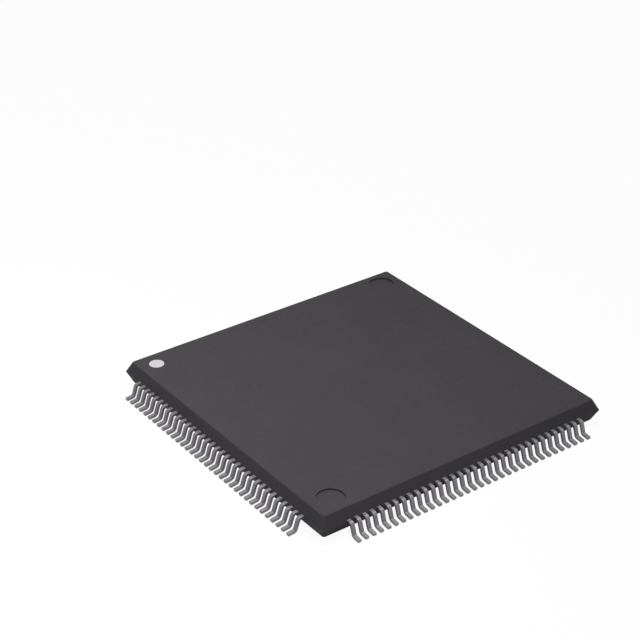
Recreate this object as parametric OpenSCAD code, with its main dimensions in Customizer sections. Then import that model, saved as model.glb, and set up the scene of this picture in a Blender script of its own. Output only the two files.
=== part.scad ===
// Low-profile quad flat pack: a microcontroller die on a copper lead frame,
// moulded into a square epoxy body with gull-wing leads on all four sides.
// Millimetres. The leads stand on the plane z = 0, the body is centred on the Z axis,
// and the dot beside the first lead is at the -X, +Y corner.

/* [Moulded body] */
// Side of the square body at its parting line
body_side = 20; // [17:0.5:28]
// Thickness of the body
body_thickness = 1.4; // [1.2:0.05:2]
// Draft of the side walls, measured from upright
draft = 25; // [5:1:35]
// Radius along the top and bottom edges
edge_radius = 0.08; // [0.02:0.01:0.2]
// Radius of the four upright corners
corner_radius = 0.15; // [0.05:0.05:0.5]

/* [Marks in the top face] */
// Diameter of the two ejector pin recesses
ejector_d = 1.6; // [0.8:0.1:1.8]
// Depth of the ejector pin recesses
ejector_depth = 0.1; // [0.02:0.01:0.15]
// Distance of a recess's centre from the body's left or right side
ejector_inset_x = 1.67; // [1.45:0.01:3]
// Distance of a recess's centre from the body's front or back
ejector_inset_y = 1.5; // [1.45:0.01:3]
// Diameter of the printed dot beside the first lead
dot_d = 0.9; // [0.5:0.05:1.4]
// Depth of the dot's ink, which is level with the top face
dot_depth = 0.03; // [0.01:0.01:0.1]
// Distance of the dot's centre from the two body sides beside it
dot_inset = 1.4; // [1.2:0.05:3]

/* [Leads outside the body] */
// Distance between the centres of neighbouring leads
lead_pitch = 0.5; // [0.4:0.05:1]
// Width of a lead
lead_width = 0.23; // [0.12:0.01:0.28]
// Thickness of the lead frame's sheet
lead_thickness = 0.16; // [0.09:0.01:0.2]
// Least distance from the body's corner to the centre of the first lead
row_margin = 1.75; // [1.2:0.05:3]
// Distance that a lead reaches out from the parting line
lead_reach = 1; // [0.9:0.05:1.6]
// Gap under the body
standoff = 0.13; // [0.05:0.01:0.4]
// Inside radius of a lead's two bends
bend_radius = 0.08; // [0.03:0.01:0.12]
// Lean of a lead's shank from upright
shank_lean = 18; // [5:1:25]
// Downward tilt of a lead's foot
foot_tilt = 6; // [0:1:10]
// Length of the straight part of a foot
foot_length = 0.39; // [0.2:0.01:0.45]

/* [Lead frame inside the body] */
// Length of a finger that runs square to the wall before it turns to the die
finger_straight = 0.7; // [0.4:0.05:1]
// Width of a finger at its tip
tip_width = 0.11; // [0.08:0.01:0.14]
// Gap between the die pad's edge and the finger tips
tip_gap = 0.45; // [0.3:0.05:1]
// Distance along a side from the square of the tips' corner to the last finger
tip_margin = 0.6; // [0.5:0.05:1]
// Side of the square die pad
pad_side = 7.6; // [6.5:0.1:8.5]
// Drop of the die pad below the leads
pad_downset = 0.2; // [0.1:0.01:0.3]
// Width of the four tie bars
tie_bar_width = 0.4; // [0.2:0.05:0.5]
// Moulding left between a tie bar and the body's corner
tie_bar_cover = 0.3; // [0.15:0.05:1]
// Distance from the finger tips to the tape that holds the fingers level
tape_gap = 1.3; // [0.8:0.1:1.6]
// Width of the tape
tape_width = 1; // [0.5:0.1:1.4]
// Thickness of the tape
tape_thickness = 0.06; // [0.03:0.01:0.1]

/* [Die and bond wires] */
// Side of the square die
die_side = 5.2; // [4:0.1:6]
// Thickness of the die
die_thickness = 0.28; // [0.15:0.01:0.3]
// Thickness of the adhesive under the die
attach_thickness = 0.03; // [0.01:0.01:0.05]
// Width of the adhesive that shows around the die
attach_border = 0.1; // [0.05:0.05:0.2]
// Thickness of a bond wire, square in section
wire_thickness = 0.03; // [0.02:0.005:0.04]
// Height of a wire's loop above the die
wire_rise = 0.15; // [0.1:0.01:0.2]
// Length of the level part of a wire's loop
wire_level = 0.6; // [0.3:0.05:1]
// Diameter of the ball at the die end of a wire
ball_d = 0.07; // [0.05:0.005:0.09]
// Height of the ball
ball_height = 0.02; // [0.01:0.005:0.03]
// Distance of the balls from the die's edge
ball_inset = 0.12; // [0.1:0.01:0.3]
// Distance along a side from the die's corner to the first ball
ball_margin = 0.3; // [0.2:0.05:0.6]
// Length of a wire that is stitched down onto its finger
stitch_length = 0.1; // [0.05:0.01:0.15]
// Distance from a finger's tip to the end of the stitch
stitch_inset = 0.2; // [0.15:0.01:0.3]

/* [Hidden] */
SIDES = ["right", "back", "left", "front"];

bend_steps = 6;
edge_steps = 5;
corner_steps = 4;
ball_sides = 8;
cut_margin = 1;
count_slack = 0.001;

// Heights of the body and of the lead frame's sheet
half_side = body_side / 2;
half_thickness = body_thickness / 2;
parting_z = standoff + half_thickness;
body_top = standoff + body_thickness;
sheet_top = parting_z + lead_thickness / 2;
pad_top = sheet_top - pad_downset;
die_bottom = pad_top + attach_thickness;
die_top = die_bottom + die_thickness;

// Leads along one side
row_length = body_side - 2 * row_margin;
lead_count = floor(row_length / lead_pitch + count_slack) + 1;

// Fingers, from the square that their tips end on to where they turn square to the wall
tip_x = pad_side / 2 + tip_gap;
knee_x = half_side - finger_straight;
tip_pitch = 2 * (tip_x - tip_margin) / (lead_count - 1);
ball_x = die_side / 2 - ball_inset;
ball_pitch = 2 * (die_side / 2 - ball_margin) / (lead_count - 1);

// Position of lead i in a row of a given pitch, centred on the side
function along(i, pitch) = (i - (lead_count - 1) / 2) * pitch;

function direction(angle) = [cos(angle), sin(angle)];
function unit(v) = v / norm(v);
function left_of(v) = [-v[1], v[0]];
function reversed(list) = [for (i = [len(list) - 1 : -1 : 0]) list[i]];

// Points of an arc, both ends included
function arc(centre, radius, from, to, steps) =
    [for (i = [0 : steps]) centre + radius * direction(from + (to - from) * i / steps)];

// The mitred outline of a strip that follows a line of points at a constant thickness
function mitre(path, i) =
    let (
        before = left_of(unit(i == 0 ? path[1] - path[0] : path[i] - path[i - 1])),
        after = i == len(path) - 1 ? before : left_of(unit(path[i + 1] - path[i]))
    )
    (before + after) / (1 + before * after);
function strip(path, thickness) =
    let (offsets = [for (i = [0 : len(path) - 1]) mitre(path, i) * thickness / 2])
    concat(path + offsets, reversed(path - offsets));

// Half of the body's upright section, in a plane turned by an angle from the side's own:
// the draft above and below the parting line, with rounded edges
function half_section(turn) =
    let (
        spread = abs(cos(turn)) + abs(sin(turn)),
        half_width = (half_side - corner_radius) * spread + corner_radius,
        lean = atan(tan(draft) * spread),
        top_half = half_width - half_thickness * tan(lean),
        centre = [top_half - edge_radius * tan(45 - lean / 2), half_thickness - edge_radius],
        upper = arc(centre, edge_radius, 90, lean, edge_steps)
    )
    concat(upper, [[half_width, 0]], [for (p = reversed(upper)) [p[0], -p[1]]]);

module body_section(turn) {
    right = half_section(turn);
    polygon(concat(right, [for (p = reversed(right)) [-p[0], p[1]]]));
}

// The moulding before anything is set into it: the two sides' sections, swept along the square,
// and between them the sections that round its corners off
module moulding() {
    corner_step = 90 / corner_steps;
    translate([0, 0, parting_z])
        intersection_for(turn = [0 : corner_step : 180 - corner_step])
            rotate([90, 0, turn])
                linear_extrude(2 * body_side, center = true)
                    body_section(turn);
}

// Shallow recesses left by the ejector pins, at two opposite corners of the top face
module ejector_recesses() {
    place = [half_side - ejector_inset_x, half_side - ejector_inset_y, 0];
    for (corner = [-1, 1])
        translate(corner * place + [0, 0, body_top - ejector_depth])
            cylinder(d = ejector_d, h = ejector_depth + cut_margin, $fn = 64);
}

module pin_one_dot() {
    color([0.83, 0.82, 0.83])
        translate([-1, 1, 0] * (half_side - dot_inset) + [0, 0, body_top - dot_depth])
            cylinder(d = dot_d, h = dot_depth, $fn = 64);
}

// Centre line of a gull-wing lead, from the parting line out to the tip of its foot
function lead_line() =
    let (
        radius = bend_radius + lead_thickness / 2,
        slope = 90 - shank_lean,
        tip = [lead_reach, -parting_z] + lead_thickness / 2 * direction(90 + foot_tilt),
        heel = tip - foot_length * direction(-foot_tilt),
        lower_centre = heel + radius * direction(90 - foot_tilt),
        shank_end = lower_centre - radius * direction(shank_lean),
        upper_drop = radius * (1 - cos(slope)),
        shank_start = shank_end + direction(180 - slope) * (-shank_end[1] - upper_drop) / sin(slope),
        upper_centre = shank_start - radius * direction(shank_lean)
    )
    concat(
        [[0, 0]],
        arc(upper_centre, radius, 90, shank_lean, bend_steps),
        arc(lower_centre, radius, 180 + shank_lean, 270 - foot_tilt, bend_steps),
        [tip]
    );

// Plan of the finger that carries lead i from the wall in to the die, seen from the lead's own centre
function finger_plan(i) =
    let (
        knee = [-finger_straight, 0],
        tip = [tip_x - half_side, along(i, tip_pitch) - along(i, lead_pitch)],
        half_lead = [0, lead_width / 2],
        half_tip = [0, tip_width / 2]
    )
    [half_lead, knee + half_lead, tip + half_tip, tip - half_tip, knee - half_lead, -half_lead];

// One lead, from the tip of its finger to the tip of its foot
module lead(i) {
    translate([half_side, along(i, lead_pitch), parting_z]) {
        rotate([90, 0, 0])
            linear_extrude(lead_width, center = true)
                polygon(strip(lead_line(), lead_thickness));
        linear_extrude(lead_thickness, center = true)
            polygon(finger_plan(i));
    }
}

module lead_row(side) {
    color([0.72, 0.72, 0.73])
        rotate(90 * side)
            for (i = [0 : lead_count - 1])
                lead(i);
}

// The die pad hangs below the leads on four tie bars, which run out to the body's corners
module die_pad() {
    pad_middle = pad_top - lead_thickness / 2;
    pad_corner = pad_side / sqrt(2);
    body_corner = (half_side - corner_radius) * sqrt(2) + corner_radius;
    bar_line = [
        [pad_side / 2, pad_middle],
        [pad_corner, pad_middle],
        [pad_corner + pad_downset, parting_z],
        [body_corner - tie_bar_width / 2 - tie_bar_cover, parting_z]
    ];
    color([0.72, 0.45, 0.30]) {
        translate([-pad_side / 2, -pad_side / 2, pad_top - lead_thickness])
            cube([pad_side, pad_side, lead_thickness]);
        for (corner = [0 : 3])
            rotate([90, 0, 45 + 90 * corner])
                linear_extrude(tie_bar_width, center = true)
                    polygon(strip(bar_line, lead_thickness));
    }
}

// Square frame of tape stuck across the fingers, which keeps them level and evenly spaced
module lead_tape() {
    inner = 2 * (tip_x + tape_gap);
    outer = inner + 2 * tape_width;
    color([0.80, 0.52, 0.16])
        translate([0, 0, sheet_top])
            linear_extrude(tape_thickness)
                difference() {
                    square(outer, center = true);
                    square(inner, center = true);
                }
}

module die_attach() {
    side = die_side + 2 * attach_border;
    color([0.62, 0.62, 0.60])
        translate([-side / 2, -side / 2, pad_top])
            cube([side, side, attach_thickness]);
}

module silicon_die() {
    color([0.36, 0.38, 0.45])
        translate([-die_side / 2, -die_side / 2, die_bottom])
            cube([die_side, die_side, die_thickness]);
}

// One bond wire: a ball on the die, a loop, and a stitch on the tip of finger i
module bond_wire(i) {
    ball = [ball_x, along(i, ball_pitch)];
    stitch_share = stitch_inset / (knee_x - tip_x);
    stitch = [
        tip_x + stitch_inset,
        along(i, tip_pitch) + stitch_share * (along(i, lead_pitch) - along(i, tip_pitch))
    ];
    span = stitch - ball;
    reach = norm(span);
    landing = sheet_top - die_top + wire_thickness / 2;
    loop = [
        [0, ball_height],
        [0, wire_rise],
        [wire_level, wire_rise],
        [reach - stitch_length, landing],
        [reach, landing]
    ];
    translate([ball[0], ball[1], die_top])
        rotate(atan2(span[1], span[0])) {
            cylinder(d = ball_d, h = ball_height, $fn = ball_sides);
            rotate([90, 0, 0])
                linear_extrude(wire_thickness, center = true)
                    polygon(strip(loop, wire_thickness));
        }
}

module wire_row(side) {
    color([0.86, 0.68, 0.24])
        rotate(90 * side)
            for (i = [0 : lead_count - 1])
                bond_wire(i);
}

// The epoxy body, moulded round the lead frame, the die and its wires
module package_body() {
    color([0.30, 0.29, 0.30])
        difference() {
            moulding();
            ejector_recesses();
            pin_one_dot();
            die_pad();
            lead_tape();
            die_attach();
            silicon_die();
            for (side = [0 : 3]) {
                lead_row(side);
                wire_row(side);
            }
        }
}

package_body();
pin_one_dot();
die_pad();
lead_tape();
die_attach();
silicon_die();
for (side = [0 : 3]) {
    lead_row(side);
    wire_row(side);
}
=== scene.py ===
import math

import bmesh
import bpy
from mathutils import Euler, Matrix, Vector


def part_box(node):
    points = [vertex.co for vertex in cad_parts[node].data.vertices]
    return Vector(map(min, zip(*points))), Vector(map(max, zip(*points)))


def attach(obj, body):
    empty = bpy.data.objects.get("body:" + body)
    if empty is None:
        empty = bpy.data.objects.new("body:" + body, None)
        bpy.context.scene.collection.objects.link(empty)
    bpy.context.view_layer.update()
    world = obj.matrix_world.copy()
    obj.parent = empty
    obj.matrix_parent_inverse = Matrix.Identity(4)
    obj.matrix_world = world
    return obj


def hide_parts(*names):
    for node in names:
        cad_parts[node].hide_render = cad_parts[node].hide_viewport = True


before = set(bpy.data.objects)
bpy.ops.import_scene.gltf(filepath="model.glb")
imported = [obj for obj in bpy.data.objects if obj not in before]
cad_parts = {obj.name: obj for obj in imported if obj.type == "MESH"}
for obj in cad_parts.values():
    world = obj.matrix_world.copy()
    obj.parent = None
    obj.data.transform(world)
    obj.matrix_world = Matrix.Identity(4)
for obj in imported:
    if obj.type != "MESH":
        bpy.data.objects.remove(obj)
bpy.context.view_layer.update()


# Die pad
# The copper alloy sheet that carries the die, one piece with the four tie bars that held it in the mould.
# It is etched from rolled sheet and pressed down below the leads, so faint rolling lines run across it.
MM = 0.001
# Most of a noise pattern lies within this span.
noise_span = (0.3, 0.7)


def start_finish(name, metallic, specular):
    """A new material with the constants of its shader set."""
    finish = bpy.data.materials.new(name)
    finish.use_nodes = True
    shader = finish.node_tree.nodes["Principled BSDF"]
    shader.inputs["Metallic"].default_value = metallic
    shader.inputs["Specular IOR Level"].default_value = specular
    return finish


def grain(finish, size, detail=2.0, stretch=(1, 1, 1)):
    """Cloudy noise with patches of about the given size, longer along an axis where stretch is above 1."""
    tree = finish.node_tree
    place = tree.nodes.new("ShaderNodeTexCoord")
    scaled = tree.nodes.new("ShaderNodeMapping")
    scaled.inputs["Scale"].default_value = [1 / (size * s) for s in stretch]
    noise = tree.nodes.new("ShaderNodeTexNoise")
    noise.inputs["Scale"].default_value = 1.0
    noise.inputs["Detail"].default_value = detail
    tree.links.new(place.outputs["Object"], scaled.inputs["Vector"])
    tree.links.new(scaled.outputs["Vector"], noise.inputs["Vector"])
    return noise.outputs["Fac"]


def tint(finish, pattern, dark, light, span=noise_span):
    """The base colour runs from dark to light over a span of the pattern."""
    tree = finish.node_tree
    ramp = tree.nodes.new("ShaderNodeValToRGB")
    for stop, position, colour in zip(ramp.color_ramp.elements, span, (dark, light)):
        stop.position = position
        stop.color = (*colour, 1)
    tree.links.new(pattern, ramp.inputs["Fac"])
    tree.links.new(ramp.outputs["Color"], tree.nodes["Principled BSDF"].inputs["Base Color"])


def polish(finish, pattern, smooth, rough):
    """The roughness runs from smooth to rough over the span of a noise pattern."""
    tree = finish.node_tree
    low, high = noise_span
    spread = tree.nodes.new("ShaderNodeMapRange")
    spread.inputs["From Min"].default_value = low
    spread.inputs["From Max"].default_value = high
    spread.inputs["To Min"].default_value = smooth
    spread.inputs["To Max"].default_value = rough
    tree.links.new(pattern, spread.inputs["Value"])
    tree.links.new(spread.outputs["Result"], tree.nodes["Principled BSDF"].inputs["Roughness"])


def relief(finish, pattern, depth):
    """The pattern stands out of the surface by the given depth."""
    tree = finish.node_tree
    bump = tree.nodes.new("ShaderNodeBump")
    bump.inputs["Distance"].default_value = depth
    tree.links.new(pattern, bump.inputs["Height"])
    tree.links.new(bump.outputs["Normal"], tree.nodes["Principled BSDF"].inputs["Normal"])


def dress(node, finish):
    """A piece that keeps the frame's own shape takes a finish."""
    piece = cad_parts[node]
    piece.data.materials.clear()
    piece.data.materials.append(finish)


rolled_copper = start_finish("rolled_copper", metallic=1.0, specular=0.5)
rolling_lines = grain(rolled_copper, size=0.02 * MM, detail=3.0, stretch=(40, 1, 1))
tint(rolled_copper, rolling_lines, dark=(0.52, 0.24, 0.13), light=(0.68, 0.34, 0.19))
polish(rolled_copper, rolling_lines, smooth=0.28, rough=0.42)
relief(rolled_copper, rolling_lines, depth=0.001 * MM)
dress("die_pad", rolled_copper)


# Leads
# 34 leads a side, each one strip of copper alloy sheet from the finger by the die to the tip of its foot.
# They are etched as a fan, tin plated outside the body and bent into gull wings by a forming press.
sides = ("right", "back", "left", "front")
lead_count = 34
lead_pitch = 0.5 * MM
lead_width = 0.23 * MM
sheet_thickness = 0.16 * MM
finger_straight = 0.7 * MM
tip_width = 0.11 * MM
tip_row = 7.3 * MM
bend_radius = 0.08 * MM
bend_steps = 4
shank_lean = math.radians(18)
foot_tilt = math.radians(6)
foot_length = 0.39 * MM
sheared_edge = 0.008 * MM
sheared_steps = 1
# Edges folded by more than this are sharp ones, to be rounded.
sharp_fold = math.radians(60)
# Faces that meet at less than the crease share their shading, weighted by this power of their area.
crease = math.radians(48)
area_power = 3

body_low, body_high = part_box("package_body")
row_low, row_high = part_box("leads_right")
half_side = body_high.x
parting_z = (body_low.z + body_high.z) / 2
knee_x = half_side - finger_straight
tip_pitch = tip_row / (lead_count - 1)

# The bends turn the sheet's middle line down by the slope and back up to the foot.
middle_radius = bend_radius + sheet_thickness / 2
slope = math.pi / 2 - shank_lean
turn_back = slope - foot_tilt
foot_drop = foot_length * math.sin(foot_tilt)
foot_run = foot_length * math.cos(foot_tilt)
bends_drop = middle_radius * (1 + math.cos(foot_tilt) - 2 * math.cos(slope))
bends_run = middle_radius * (2 * math.sin(slope) - math.sin(foot_tilt))
whole_drop = parting_z - row_low.z - sheet_thickness / 2 * math.cos(foot_tilt)
shank_length = (whole_drop - bends_drop - foot_drop) / math.sin(slope)
tip_x = row_high.x - sheet_thickness / 2 * math.sin(foot_tilt)
shoulder_x = tip_x - foot_run - bends_run - shank_length * math.cos(slope)


def push(bm, section, step):
    """Draws the section out by a step and gives back its new end."""
    drawn = bmesh.ops.extrude_face_region(bm, geom=[section, *section.edges, *section.verts])["geom"]
    end = next(part for part in drawn if isinstance(part, bmesh.types.BMFace))
    bmesh.ops.translate(bm, vec=step, verts=end.verts[:])
    return end


def bend(bm, section, centre, angle):
    """Turns the section about an axis along the row and gives back its new end."""
    swept = bmesh.ops.spin(
        bm, geom=[section, *section.edges, *section.verts], cent=centre, axis=(0, 1, 0),
        angle=angle, steps=bend_steps, use_merge=False, use_duplicate=False)
    return next(part for part in swept["geom_last"] if isinstance(part, bmesh.types.BMFace))


def add_lead(bm, finger_y, lead_y):
    """One lead, drawn from the tip of its finger out to the tip of its foot."""
    finger_tip = Vector((row_low.x, finger_y, parting_z))
    upright = Euler((0, math.pi / 2, 0))
    unit_half = 0.5
    bmesh.ops.create_grid(
        bm, x_segments=1, y_segments=1, size=unit_half,
        matrix=Matrix.LocRotScale(finger_tip, upright, Vector((sheet_thickness, tip_width, 1))))
    bm.faces.ensure_lookup_table()
    knee = Vector((knee_x, lead_y, parting_z))
    section = push(bm, bm.faces[-1], knee - finger_tip)
    bmesh.ops.scale(
        bm, vec=(1, lead_width / tip_width, 1), space=Matrix.Translation(-knee), verts=section.verts[:])
    section = push(bm, section, Vector((shoulder_x - knee_x, 0, 0)))
    section = bend(bm, section, (shoulder_x, lead_y, parting_z - middle_radius), slope)
    section = push(bm, section, shank_length * Vector((math.cos(slope), 0, -math.sin(slope))))
    outwards = Vector((math.sin(slope), 0, math.cos(slope)))
    section = bend(bm, section, section.calc_center_median() + middle_radius * outwards, -turn_back)
    push(bm, section, Vector((foot_run, 0, -foot_drop)))


def round_edges(bm, edges, offset, steps):
    """Rounds edges off, starting at an offset on either side, in a number of steps."""
    bmesh.ops.bevel(
        bm, geom=edges, offset=offset, offset_type="OFFSET", affect="EDGES",
        segments=steps, profile=0.5, material=-1)


def shade(mesh):
    """Shades flat faces flat and lets the small faces of a bend or fillet turn smoothly between them."""
    around = [[] for _ in mesh.vertices]
    for face in mesh.polygons:
        for corner in face.vertices:
            around[corner].append((face.normal, (face.area / MM ** 2) ** area_power))
    normals = []
    for face in mesh.polygons:
        for corner in face.vertices:
            alike = [n * weight for n, weight in around[corner] if n.angle(face.normal) < crease]
            normals.append(sum(alike, Vector()).normalized())
    mesh.normals_split_custom_set(normals)


def add_piece(bm, name, finish, slot, *nodes):
    """Makes a finished piece of the mesh, in place of the frame's nodes."""
    mesh = bpy.data.meshes.new(name)
    for face in bm.faces:
        face.smooth = True
    bm.to_mesh(mesh)
    bm.free()
    shade(mesh)
    mesh.materials.append(finish)
    piece = bpy.data.objects.new(name, mesh)
    bpy.context.scene.collection.objects.link(piece)
    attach(piece, "root")
    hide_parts(*nodes)


matt_tin = start_finish("matt_tin", metallic=1.0, specular=0.5)
plating_cloud = grain(matt_tin, size=0.12 * MM, detail=4.0)
tint(matt_tin, plating_cloud, dark=(0.182, 0.175, 0.185), light=(0.221, 0.213, 0.225))
polish(matt_tin, plating_cloud, smooth=0.48, rough=0.60)
relief(matt_tin, grain(matt_tin, size=0.02 * MM, detail=3.0), depth=0.0006 * MM)

right_row = bmesh.new()
for i in range(lead_count):
    from_middle = i - (lead_count - 1) / 2
    add_lead(right_row, from_middle * tip_pitch, from_middle * lead_pitch)
bmesh.ops.recalc_face_normals(right_row, faces=right_row.faces[:])
sheared = [
    edge for edge in right_row.edges
    if edge.calc_face_angle() > sharp_fold and min(v.co.x for v in edge.verts) > knee_x - sheared_edge]
round_edges(right_row, sheared, sheared_edge, sheared_steps)
for quarter, side in enumerate(sides):
    row = right_row.copy()
    turn = Matrix.Rotation(quarter * math.pi / 2, 3, "Z")
    bmesh.ops.rotate(row, cent=(0, 0, 0), matrix=turn, verts=row.verts[:])
    add_piece(row, f"formed_leads_{side}", matt_tin, "lead_plating", f"leads_{side}")
right_row.free()


# Lead tape
# A square frame of clear amber film, stuck across the fingers while the frame is still flat.
# It keeps the many fine fingers level and evenly spaced until the epoxy holds them.
amber_film = start_finish("amber_film", metallic=0.0, specular=0.5)
film_cloud = grain(amber_film, size=0.8 * MM, detail=1.0)
tint(amber_film, film_cloud, dark=(0.46, 0.18, 0.02), light=(0.58, 0.27, 0.045))
polish(amber_film, film_cloud, smooth=0.18, rough=0.3)
relief(amber_film, grain(amber_film, size=0.15 * MM), depth=0.002 * MM)
dress("lead_tape", amber_film)


# Die adhesive
# A thin layer of silver-filled paste that is squeezed out a little around the die and cured.
# Its flakes show as fine bright specks in a grey binder.
silver_paste = start_finish("silver_paste", metallic=0.3, specular=0.4)
flakes = grain(silver_paste, size=0.03 * MM, detail=5.0)
tint(silver_paste, flakes, dark=(0.30, 0.30, 0.28), light=(0.62, 0.62, 0.60))
polish(silver_paste, flakes, smooth=0.35, rough=0.7)
relief(silver_paste, flakes, depth=0.004 * MM)
dress("die_attach", silver_paste)


# Silicon die
# The microcontroller itself: a square sawn from a polished wafer, seated on the adhesive.
# Its circuits show only as faint straight-edged patches.
block_size = 0.7 * MM
wafer = start_finish("wafer", metallic=0.6, specular=0.5)
circuit_blocks = wafer.node_tree.nodes.new("ShaderNodeTexVoronoi")
circuit_blocks.distance = "CHEBYCHEV"
circuit_blocks.inputs["Scale"].default_value = 1 / block_size
die_place = wafer.node_tree.nodes.new("ShaderNodeTexCoord")
wafer.node_tree.links.new(die_place.outputs["Object"], circuit_blocks.inputs["Vector"])
from_block_middle = circuit_blocks.outputs["Distance"]
tint(wafer, from_block_middle, dark=(0.08, 0.09, 0.14), light=(0.16, 0.17, 0.22), span=(0.1, 0.6))
polish(wafer, grain(wafer, size=0.1 * MM), smooth=0.08, rough=0.16)
dress("silicon_die", wafer)


# Bond wires
# One gold wire from the die to each finger, welded as a ball at the die and stitched down at the finger.
# The wire is drawn, so its finish is bright and varies only finely.
drawn_gold = start_finish("drawn_gold", metallic=1.0, specular=0.5)
drawing_marks = grain(drawn_gold, size=0.02 * MM, detail=3.0)
tint(drawn_gold, drawing_marks, dark=(0.74, 0.47, 0.12), light=(0.90, 0.64, 0.22))
polish(drawn_gold, drawing_marks, smooth=0.18, rough=0.3)
for side in sides:
    dress(f"bond_wires_{side}", drawn_gold)


# Moulded body
# Black epoxy, moulded in one shot round the lead frame, the die and its wires, with draft above and below
# the parting line. The mould is finely matt, and two ejector pins leave shallow round recesses in the top.
corner_radius = 0.15 * MM
corner_steps = 4
draft = math.radians(25)
edge_radius = 0.08 * MM
edge_steps = 4
recess_radius = 0.8 * MM
recess_depth = 0.1 * MM
recess_inset_x = 1.67 * MM
recess_inset_y = 1.5 * MM
recess_fillet = 0.025 * MM
dot_fillet = 0.003 * MM
fillet_steps = 3
round_steps = 64
rim_width = 0.06 * MM
weld_distance = 0.0001 * MM

dot_low, dot_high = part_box("pin_one_dot")
dot_centre = (dot_low + dot_high) / 2
dot_radius = (dot_high.x - dot_low.x) / 2
dot_depth = dot_high.z - dot_low.z
half_height = body_high.z - parting_z
taper = half_height * math.tan(draft)
edge_offset = edge_radius * math.tan((math.pi / 2 - draft) / 2)
recess_x = half_side - recess_inset_x
recess_y = half_side - recess_inset_y


def widen(verts, step):
    """Moves the sides of the body's outline outwards by a step, with its rounded corners as they are."""
    for v in verts:
        v.co.x += step * math.copysign(1, v.co.x)
        v.co.y += step * math.copysign(1, v.co.y)


def add_sunk_disc(bm, x, y, radius, depth, fillet):
    """A flat-bottomed round recess in the top face, turned about its own axis; gives back its outer rim."""
    profile = [(radius + rim_width, 0), (radius, 0), (radius, depth), (0, depth)]
    line = [bm.verts.new((x + out, y, body_high.z - down)) for out, down in profile]
    steps = [bm.edges.new(pair) for pair in zip(line, line[1:])]
    before = set(bm.verts) - set(line)
    bmesh.ops.spin(
        bm, geom=[*line, *steps], cent=(x, y, 0), axis=(0, 0, 1), angle=2 * math.pi,
        steps=round_steps, use_merge=True, use_duplicate=False)
    turned = [v for v in bm.verts if v not in before]
    bmesh.ops.remove_doubles(bm, verts=turned, dist=weld_distance)
    turned = {v for v in bm.verts if v not in before}
    around = [edge for edge in bm.edges if edge.verts[0] in turned]
    folds = [edge for edge in around if not edge.is_boundary and edge.calc_face_angle() > sharp_fold]
    rim = [edge for edge in around if edge.is_boundary]
    round_edges(bm, folds, fillet, fillet_steps)
    return rim


moulded = bmesh.new()
bmesh.ops.create_grid(
    moulded, x_segments=1, y_segments=1, size=half_side - taper,
    matrix=Matrix.Translation((0, 0, body_low.z)))
bmesh.ops.bevel(
    moulded, geom=moulded.verts[:], offset=corner_radius, offset_type="OFFSET", affect="VERTICES",
    segments=corner_steps, profile=0.5, material=-1)
section = moulded.faces[:][0]
for spread in (taper, -taper):
    section = push(moulded, section, Vector((0, 0, half_height)))
    widen(section.verts, spread)
bmesh.ops.recalc_face_normals(moulded, faces=moulded.faces[:])

# The level edges above and below the parting line are rounded.
rims = [
    edge for edge in moulded.edges
    if abs(edge.verts[0].co.z - edge.verts[1].co.z) < edge_radius
    and abs(edge.verts[0].co.z - parting_z) > edge_radius]
round_edges(moulded, rims, edge_offset, edge_steps)

# The top face, the largest that looks up, is made again round the recesses and the dot's seat.
moulded.normal_update()
top = max(moulded.faces, key=lambda face: face.normal.z * face.calc_area())
outline = top.edges[:]
bmesh.ops.delete(moulded, geom=[top], context="FACES_ONLY")
rim_edges = [
    *add_sunk_disc(moulded, -recess_x, -recess_y, recess_radius, recess_depth, recess_fillet),
    *add_sunk_disc(moulded, recess_x, recess_y, recess_radius, recess_depth, recess_fillet),
    *add_sunk_disc(moulded, dot_centre.x, dot_centre.y, dot_radius, dot_depth, dot_fillet),
]
bmesh.ops.triangle_fill(moulded, use_beauty=True, edges=[*outline, *rim_edges], normal=(0, 0, 1))
bmesh.ops.recalc_face_normals(moulded, faces=moulded.faces[:])

black_epoxy = start_finish("black_epoxy", metallic=0.0, specular=0.06)
filler_cloud = grain(black_epoxy, size=2.5 * MM, detail=3.0)
tint(black_epoxy, filler_cloud, dark=(0.0580, 0.0545, 0.0597), light=(0.0626, 0.0591, 0.0643))
polish(black_epoxy, grain(black_epoxy, size=0.3 * MM), smooth=0.55, rough=0.7)
relief(black_epoxy, grain(black_epoxy, size=0.05 * MM, detail=4.0), depth=0.003 * MM)
add_piece(moulded, "moulded_body", black_epoxy, "mould_epoxy", "package_body")


# Dot beside the first lead
# A small disc of pale matt ink, printed level with the top face, to show where the count of leads starts.
# The ink lies a little unevenly, so its tone and surface vary slightly.
printed = bmesh.new()
bmesh.ops.create_circle(
    printed, cap_ends=True, segments=round_steps, radius=dot_radius,
    matrix=Matrix.Translation((dot_centre.x, dot_centre.y, dot_low.z)))
push(printed, printed.faces[:][0], Vector((0, 0, dot_depth)))
bmesh.ops.recalc_face_normals(printed, faces=printed.faces[:])

pale_ink = start_finish("pale_ink", metallic=0.0, specular=0.2)
ink_cloud = grain(pale_ink, size=0.2 * MM, detail=3.0)
tint(pale_ink, ink_cloud, dark=(0.585, 0.572, 0.592), light=(0.645, 0.632, 0.652))
polish(pale_ink, ink_cloud, smooth=0.55, rough=0.75)
relief(pale_ink, grain(pale_ink, size=0.03 * MM), depth=0.003 * MM)
add_piece(printed, "printed_dot", pale_ink, "print_ink", "pin_one_dot")


# Floor
# A plain white sheet that the feet stand on. The camera sees it white with the chip's soft shadow faintly
# in it, the leads reflect it with a deeper one, and as a source of bounced light it is a mid grey card.
floor_half_side = 600 * MM
bounce_grey = (0.42, 0.42, 0.42, 1)
plain_white = (1, 1, 1, 1)
glow_strength = 1.0
shadow_in_view = 0.06
shadow_in_reflections = 0.5

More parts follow.
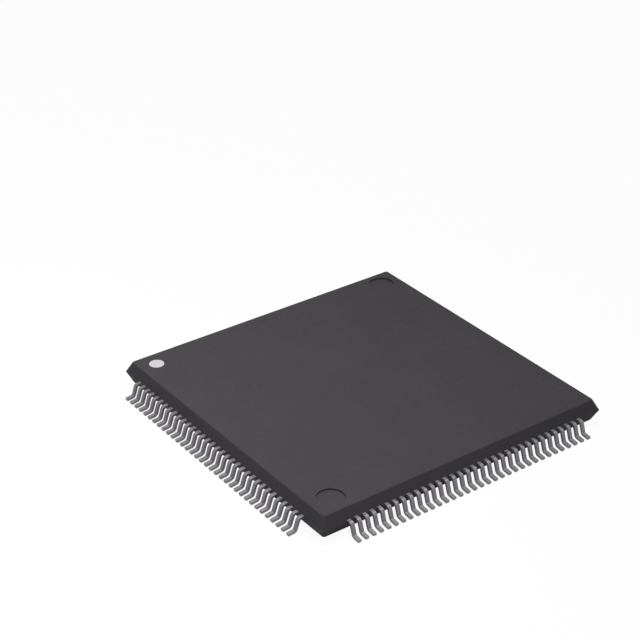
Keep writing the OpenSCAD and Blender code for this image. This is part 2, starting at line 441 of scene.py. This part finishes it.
floor_bm = bmesh.new()
bmesh.ops.create_grid(floor_bm, x_segments=1, y_segments=1, size=floor_half_side)
floor_mesh = bpy.data.meshes.new("floor")
floor_bm.to_mesh(floor_mesh)
floor_bm.free()
floor = bpy.data.objects.new("floor", floor_mesh)
bpy.context.scene.collection.objects.link(floor)


def seen_directly(tree):
    """1 where a camera, glossy or transmission ray looks, 0 for the light that surfaces pass on."""
    path = tree.nodes.new("ShaderNodeLightPath")
    either = tree.nodes.new("ShaderNodeMath")
    either.operation = "MAXIMUM"
    any_of = tree.nodes.new("ShaderNodeMath")
    any_of.operation = "MAXIMUM"
    tree.links.new(path.outputs["Is Camera Ray"], either.inputs[0])
    tree.links.new(path.outputs["Is Glossy Ray"], either.inputs[1])
    tree.links.new(either.outputs["Value"], any_of.inputs[0])
    tree.links.new(path.outputs["Is Transmission Ray"], any_of.inputs[1])
    return any_of.outputs["Value"]


white_sheet = bpy.data.materials.new("white_sheet")
white_sheet.use_nodes = True
sheet_tree = white_sheet.node_tree
sheet_tree.nodes.remove(sheet_tree.nodes["Principled BSDF"])
floor_mesh.materials.append(white_sheet)

# A look at the sheet meets a white glow, mixed with a share of a lit surface that carries the shadow.
white_glow = sheet_tree.nodes.new("ShaderNodeEmission")
white_glow.inputs["Strength"].default_value = glow_strength
shadow_catcher = sheet_tree.nodes.new("ShaderNodeBsdfDiffuse")
shadow_catcher.inputs["Color"].default_value = plain_white
sheet_path = sheet_tree.nodes.new("ShaderNodeLightPath")
shadow_share = sheet_tree.nodes.new("ShaderNodeMapRange")
shadow_share.inputs["To Min"].default_value = shadow_in_reflections
shadow_share.inputs["To Max"].default_value = shadow_in_view
seen_sheet = sheet_tree.nodes.new("ShaderNodeMixShader")
sheet_tree.links.new(sheet_path.outputs["Is Camera Ray"], shadow_share.inputs["Value"])
sheet_tree.links.new(shadow_share.outputs["Result"], seen_sheet.inputs["Fac"])
sheet_tree.links.new(white_glow.outputs["Emission"], seen_sheet.inputs[1])
sheet_tree.links.new(shadow_catcher.outputs["BSDF"], seen_sheet.inputs[2])

# Light that the sheet passes on comes from a grey card instead.
grey_card = sheet_tree.nodes.new("ShaderNodeBsdfDiffuse")
grey_card.inputs["Color"].default_value = bounce_grey
whole_sheet = sheet_tree.nodes.new("ShaderNodeMixShader")
sheet_tree.links.new(seen_directly(sheet_tree), whole_sheet.inputs["Fac"])
sheet_tree.links.new(grey_card.outputs["BSDF"], whole_sheet.inputs[1])
sheet_tree.links.new(seen_sheet.outputs["Shader"], whole_sheet.inputs[2])
sheet_tree.links.new(whole_sheet.outputs["Shader"], sheet_tree.nodes["Material Output"].inputs["Surface"])


# Light
# A broad lamp straight overhead and a small soft box, feathered towards the left so that the top darkens
# slightly to the right, in a dim room whose walls look white to the camera and to reflections.
wall_grey = (0.21, 0.21, 0.21, 1)
wall_white = (0.978, 0.978, 0.978, 1)
overhead_angle = math.radians(50)
overhead_strength = 1.31
soft_box_side = 40 * MM
soft_box_spread = math.radians(100)
soft_box_power = 0.021
soft_box_place = Vector((-4, 0, 80)) * MM
soft_box_aim = Vector((-64, 0, 0)) * MM

room = bpy.data.worlds.new("room")
bpy.context.scene.world = room
room.use_nodes = True
room_tree = room.node_tree
dim_walls = room_tree.nodes["Background"]
dim_walls.inputs["Color"].default_value = wall_grey
white_walls = room_tree.nodes.new("ShaderNodeBackground")
white_walls.inputs["Color"].default_value = wall_white
all_walls = room_tree.nodes.new("ShaderNodeMixShader")
room_tree.links.new(seen_directly(room_tree), all_walls.inputs["Fac"])
room_tree.links.new(dim_walls.outputs["Background"], all_walls.inputs[1])
room_tree.links.new(white_walls.outputs["Background"], all_walls.inputs[2])
room_tree.links.new(all_walls.outputs["Shader"], room_tree.nodes["World Output"].inputs["Surface"])

# A lamp that isn't turned shines straight down.
overhead = bpy.data.lights.new("overhead", "SUN")
overhead.angle = overhead_angle
overhead.energy = overhead_strength
overhead_lamp = bpy.data.objects.new("overhead", overhead)
bpy.context.scene.collection.objects.link(overhead_lamp)


def set_up(thing, place, aim):
    """Puts a lamp or the camera at its place, turned to where it aims."""
    thing.location = place
    thing.rotation_mode = "QUATERNION"
    thing.rotation_quaternion = (aim - place).to_track_quat("-Z", "Y")
    bpy.context.scene.collection.objects.link(thing)


soft_box = bpy.data.lights.new("soft_box", "AREA")
soft_box.size = soft_box_side
soft_box.spread = soft_box_spread
soft_box.energy = soft_box_power
set_up(bpy.data.objects.new("soft_box", soft_box), soft_box_place, soft_box_aim)


# Camera
# A long lens at the photograph's own viewing angle, about 30 degrees above the floor,
# with the corner between the left and front rows nearest.
lens_length = 101.13
nearest_seen = 5 * MM
camera_place = Vector((-54.95, -71.18, 57.35)) * MM
camera_aim = Vector((3.926, 9.198, 0)) * MM

camera_data = bpy.data.cameras.new("camera")
camera_data.lens = lens_length
camera_data.clip_start = nearest_seen
camera = bpy.data.objects.new("camera", camera_data)
set_up(camera, camera_place, camera_aim)
bpy.context.scene.camera = camera
bpy.context.scene.view_settings.view_transform = "Standard"
